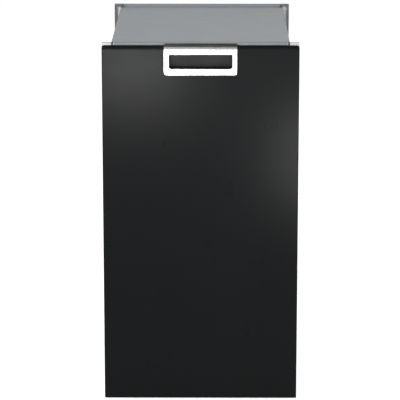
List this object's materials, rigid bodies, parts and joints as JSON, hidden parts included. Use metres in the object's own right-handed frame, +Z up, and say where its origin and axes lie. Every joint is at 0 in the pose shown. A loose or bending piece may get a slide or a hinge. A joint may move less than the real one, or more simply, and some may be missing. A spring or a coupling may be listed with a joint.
{
  "type": "trash compactor",
  "caption": "Under-counter trash compactor with a full-height pull-out drawer front, a recessed bright handle and a screw-driven ram over the bin.",
  "frame": {"origin": "on the floor, in the middle of the machine's outer box", "axes": "+Z up; the drawer opens towards -Y; +X is to the right of someone who faces the drawer front"},
  "size_m": [0.454, 0.61, 0.864],
  "materials": {
    "black_gloss": "smooth black enamelled skin, soft gloss",
    "frame_grey": "light grey painted steel",
    "handle_white": "polished bright handle frame",
    "black_plastic": "fine moulded grain",
    "dark_plastic": "fine moulded grain",
    "white_plastic": "fine moulded grain",
    "galvanised": "galvanised sheet with faint spangle",
    "cabinet_grey": "mid grey baked paint, fine orange peel",
    "back_light": "light grey painted sheet",
    "dark_steel": "dark grey painted steel",
    "steel": "machined steel",
    "zinc": "zinc plated",
    "bronze": "sintered bronze",
    "rubber": "matt black rubber",
    "belt_rubber": "ribbed black rubber",
    "bin_steel": "galvanised and clear-coated bin",
    "motor_paint": "dark motor enamel",
    "green_plastic": "glossy moulded button",
    "carbon": "black carbon filter pad",
    "cast_aluminium": "die-cast aluminium",
    "magnet": "dark ferrite",
    "wire_sleeve": "braided wire sleeve"
  },
  "bodies": {
    "cabinet": {"base_pan": "galvanised", "deck_plate": "galvanised", "side_panel_left": "cabinet_grey", "side_panel_right": "cabinet_grey", "top_plate": "cabinet_grey", "back_panel": "back_light", "anchor_brackets": "dark_steel", "front_fascia": "galvanised", "top_bearing_plate": "galvanised", "upper_bearings": "bronze", "deck_bearings": "bronze", "thrust_bearings": "steel", "levelling_feet": "dark_plastic", "wall_bumpers": "rubber", "slide_brackets": "galvanised", "slide_outer_rails": "zinc", "motor_body": "motor_paint", "motor_mount": "dark_steel", "drive_shaft_bearings": "bronze", "drive_belt": "belt_rubber", "drive_chain": "steel", "tensioner_arm": "zinc", "motor_capacitor": "dark_plastic", "control_box": "white_plastic", "control_pod": "black_plastic", "power_inlet": "black_plastic", "filter_housing": "dark_plastic", "carbon_filter": "carbon", "catch_magnets": "magnet", "limit_switches": "dark_plastic", "cabinet_screws": "zinc", "wiring_loom": "wire_sleeve"},
    "screw_left": {"power_screw_left": "steel", "sprocket_left": "steel"},
    "screw_right": {"power_screw_right": "steel", "sprocket_right": "steel"},
    "drive": {"drive_shaft": "steel", "drive_pulley": "cast_aluminium", "drive_sprocket": "steel"},
    "motor_rotor": {"motor_pulley": "steel", "motor_fan": "dark_plastic"},
    "idler": {"idler_sprocket": "steel"},
    "ram": {"ram_beam": "dark_steel", "power_nuts": "bronze", "ram_column": "dark_steel", "ram_platen": "galvanised", "ram_bolts": "zinc"},
    "middle_rails": {"slide_middle_rails": "zinc"},
    "drawer": {"front_skin": "black_gloss", "drawer_frame": "frame_grey", "handle_bezel": "handle_white", "handle_housing": "black_plastic", "drawer_tray": "galvanised", "slide_inner_rails": "zinc", "trash_bin": "bin_steel", "bag_ring": "dark_plastic", "catch_plates": "zinc", "corner_buffers": "rubber"},
    "start": {"start_button": "green_plastic"},
    "rocker": {"power_rocker": "dark_plastic"}
  },
  "joints": [
    {"name": "drawer_slide", "type": "slide", "parent": "cabinet", "child": "drawer", "axis": [0, -1, 0], "range_m": [0, 0.48]},
    {"name": "middle_rails_slide", "type": "slide", "parent": "cabinet", "child": "middle_rails", "axis": [0, -1, 0], "range_m": [0, 0.24]},
    {"name": "drive_spin", "type": "hinge", "parent": "cabinet", "child": "drive", "pos_m": [0, 0.1395, 0.048], "axis": [0, 0, 1], "range_deg": [0, 15120]},
    {"name": "screw_left_spin", "type": "hinge", "parent": "cabinet", "child": "screw_left", "pos_m": [-0.17855, -0.04125, 0.048], "axis": [0, 0, 1], "range_deg": [0, 15120]},
    {"name": "screw_right_spin", "type": "hinge", "parent": "cabinet", "child": "screw_right", "pos_m": [0.17855, -0.04125, 0.048], "axis": [0, 0, 1], "range_deg": [0, 15120]},
    {"name": "ram_slide", "type": "slide", "parent": "cabinet", "child": "ram", "axis": [0, 0, 1], "range_m": [-0.252, 0]},
    {"name": "motor_spin", "type": "hinge", "parent": "cabinet", "child": "motor_rotor", "pos_m": [0, 0.2375, 0.048], "axis": [0, 0, 1], "range_deg": [0, 83160]},
    {"name": "idler_spin", "type": "hinge", "parent": "cabinet", "child": "idler", "pos_m": [0.09463, 0.05455, 0.048], "axis": [0, 0, 1], "range_deg": [0, 22680]},
    {"name": "start_press", "type": "slide", "parent": "cabinet", "child": "start", "axis": [0, 1, 0], "range_m": [0, 0.003], "stiffness_N_per_m": 400, "springref_m": -0.001},
    {"name": "power_rock", "type": "hinge", "parent": "cabinet", "child": "rocker", "pos_m": [0.11, -0.26, 0.8105], "axis": [1, 0, 0], "range_deg": [-10, 10]}
  ],
  "couplings": [
    {"joint": "middle_rails_slide", "follows": "drawer_slide", "ratio": 0.5},
    {"joint": "drive_spin", "follows": "ram_slide", "rad_per_m": -1047.2},
    {"joint": "screw_left_spin", "follows": "ram_slide", "rad_per_m": -1047.2},
    {"joint": "screw_right_spin", "follows": "ram_slide", "rad_per_m": -1047.2},
    {"joint": "motor_spin", "follows": "ram_slide", "rad_per_m": -5759.6},
    {"joint": "idler_spin", "follows": "ram_slide", "rad_per_m": -1570.8}
  ]
}
